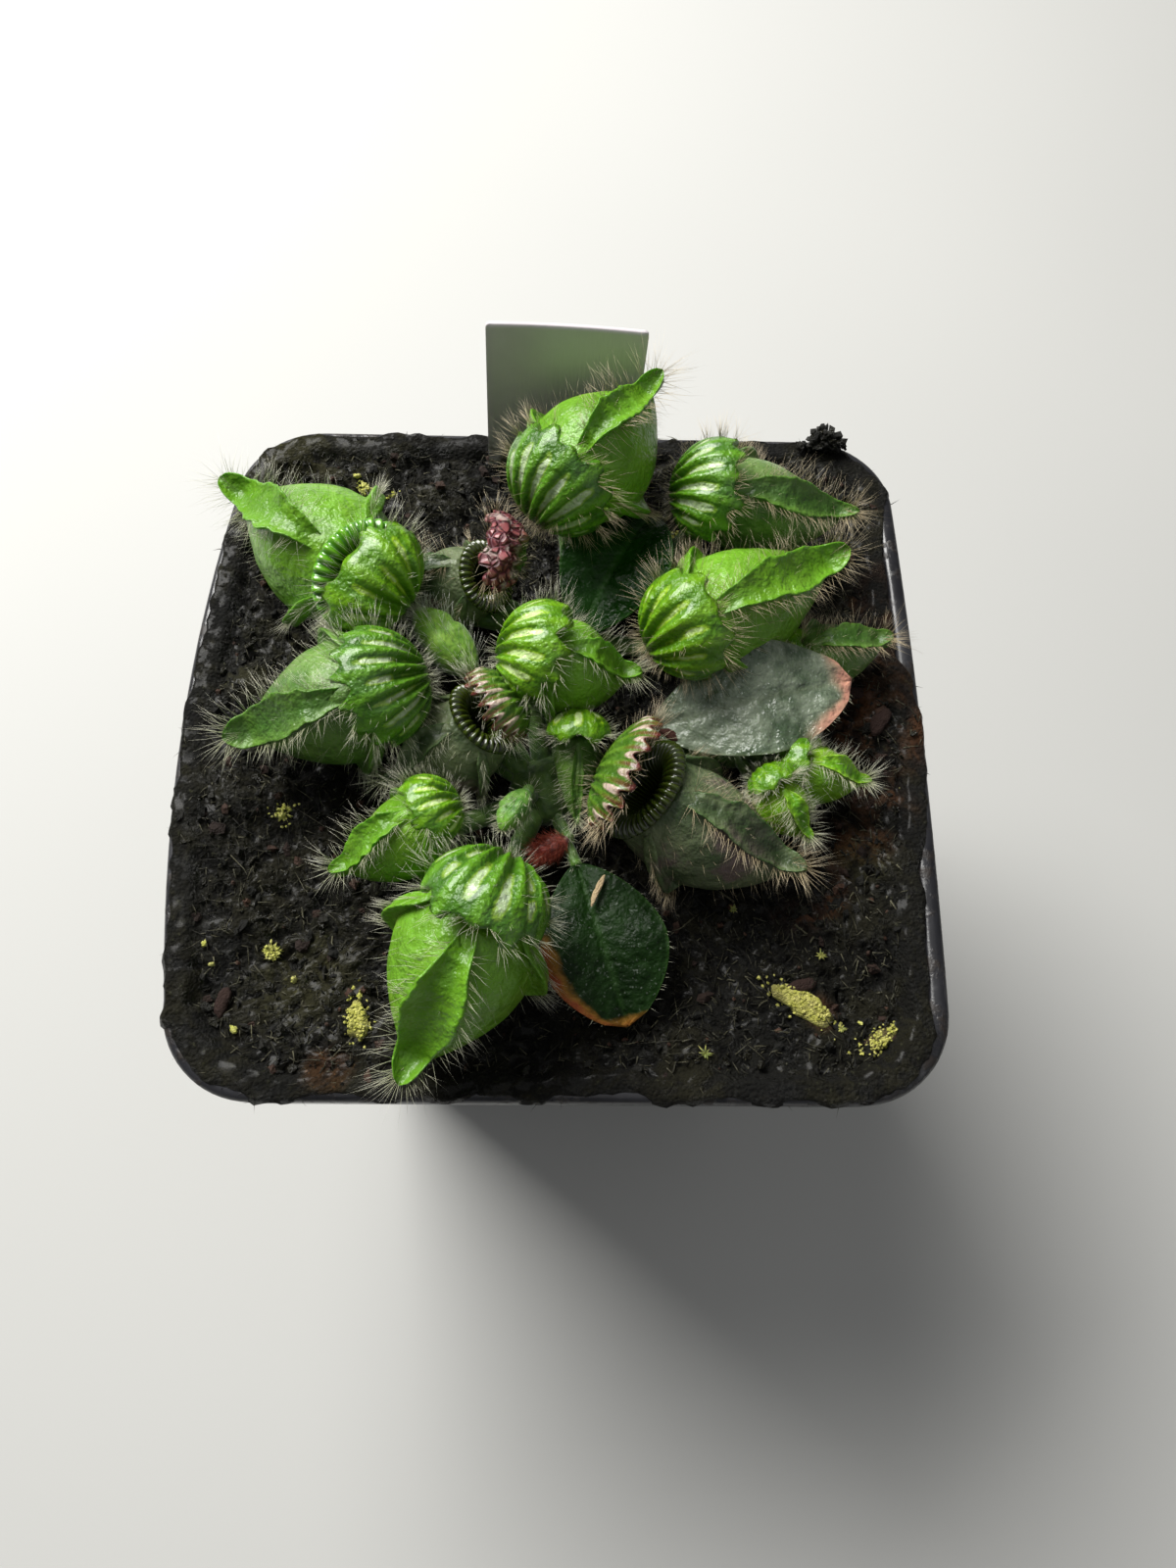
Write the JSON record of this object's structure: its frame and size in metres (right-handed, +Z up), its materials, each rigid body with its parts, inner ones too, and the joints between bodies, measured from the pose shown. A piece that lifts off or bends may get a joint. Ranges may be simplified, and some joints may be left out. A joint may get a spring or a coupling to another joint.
{
  "type": "potted albany pitcher plant",
  "caption": "Low rosette of ribbed-lidded pitchers, flat leaves and young buds on a creeping rhizome, in a square plastic pot of peat with a blank plant label.",
  "frame": {"origin": "centre of the pot's flat underside, on the surface it stands on", "axes": "+Z up, +Y towards the side with the plant label, +X to the right seen from the opposite side"},
  "size_m": [0.0932, 0.09, 0.1176],
  "materials": {
    "pot": "satin",
    "label": "satin",
    "peat": "matte",
    "perlite": "matte",
    "pouch": "satin",
    "pouch_older": "satin",
    "lid": "satin",
    "lid_withered": "satin",
    "mouth_ring": "gloss",
    "leaf_dark": "satin",
    "leaf_grey": "satin",
    "bud": "matte",
    "bud_red": "matte",
    "rhizome": "matte"
  },
  "bodies": {
    "root": {"lid_back": "lid", "pouch_back": "pouch", "lid_right": "lid", "pouch_right": "pouch", "lid_left_back": "lid", "pouch_left_back": "pouch", "mouth_left_back": "mouth_ring", "lid_centre": "lid", "pouch_centre": "pouch", "lid_left": "lid", "pouch_left": "pouch", "lid_front": "lid", "pouch_front": "pouch", "lid_left_front": "lid", "pouch_left_front": "pouch", "lid_right_back": "lid", "pouch_right_back": "pouch_older", "lid_centre_front": "lid", "pouch_centre_front": "pouch", "lid_open_right": "lid", "pouch_open_right": "pouch_older", "mouth_open_right": "mouth_ring", "lid_open_left": "lid", "pouch_open_left": "pouch_older", "mouth_open_left": "mouth_ring", "lid_withered": "lid_withered", "pouch_withered": "pouch_older", "mouth_withered": "mouth_ring", "lid_small_right": "lid", "pouch_small_right": "pouch", "lid_small_front": "lid", "pouch_small_front": "pouch", "lid_right_low": "lid", "pouch_right_low": "pouch", "leaf_grey": "leaf_grey", "leaf_dark": "leaf_dark", "leaf_front": "leaf_dark", "bud_left": "bud", "bud_front": "bud", "bud_red": "bud_red", "rhizome": "rhizome", "flake_long": "perlite", "flake_corner": "perlite", "flake_side": "perlite", "label": "label", "peat": "peat", "pot": "pot"}
  },
  "joints": []
}
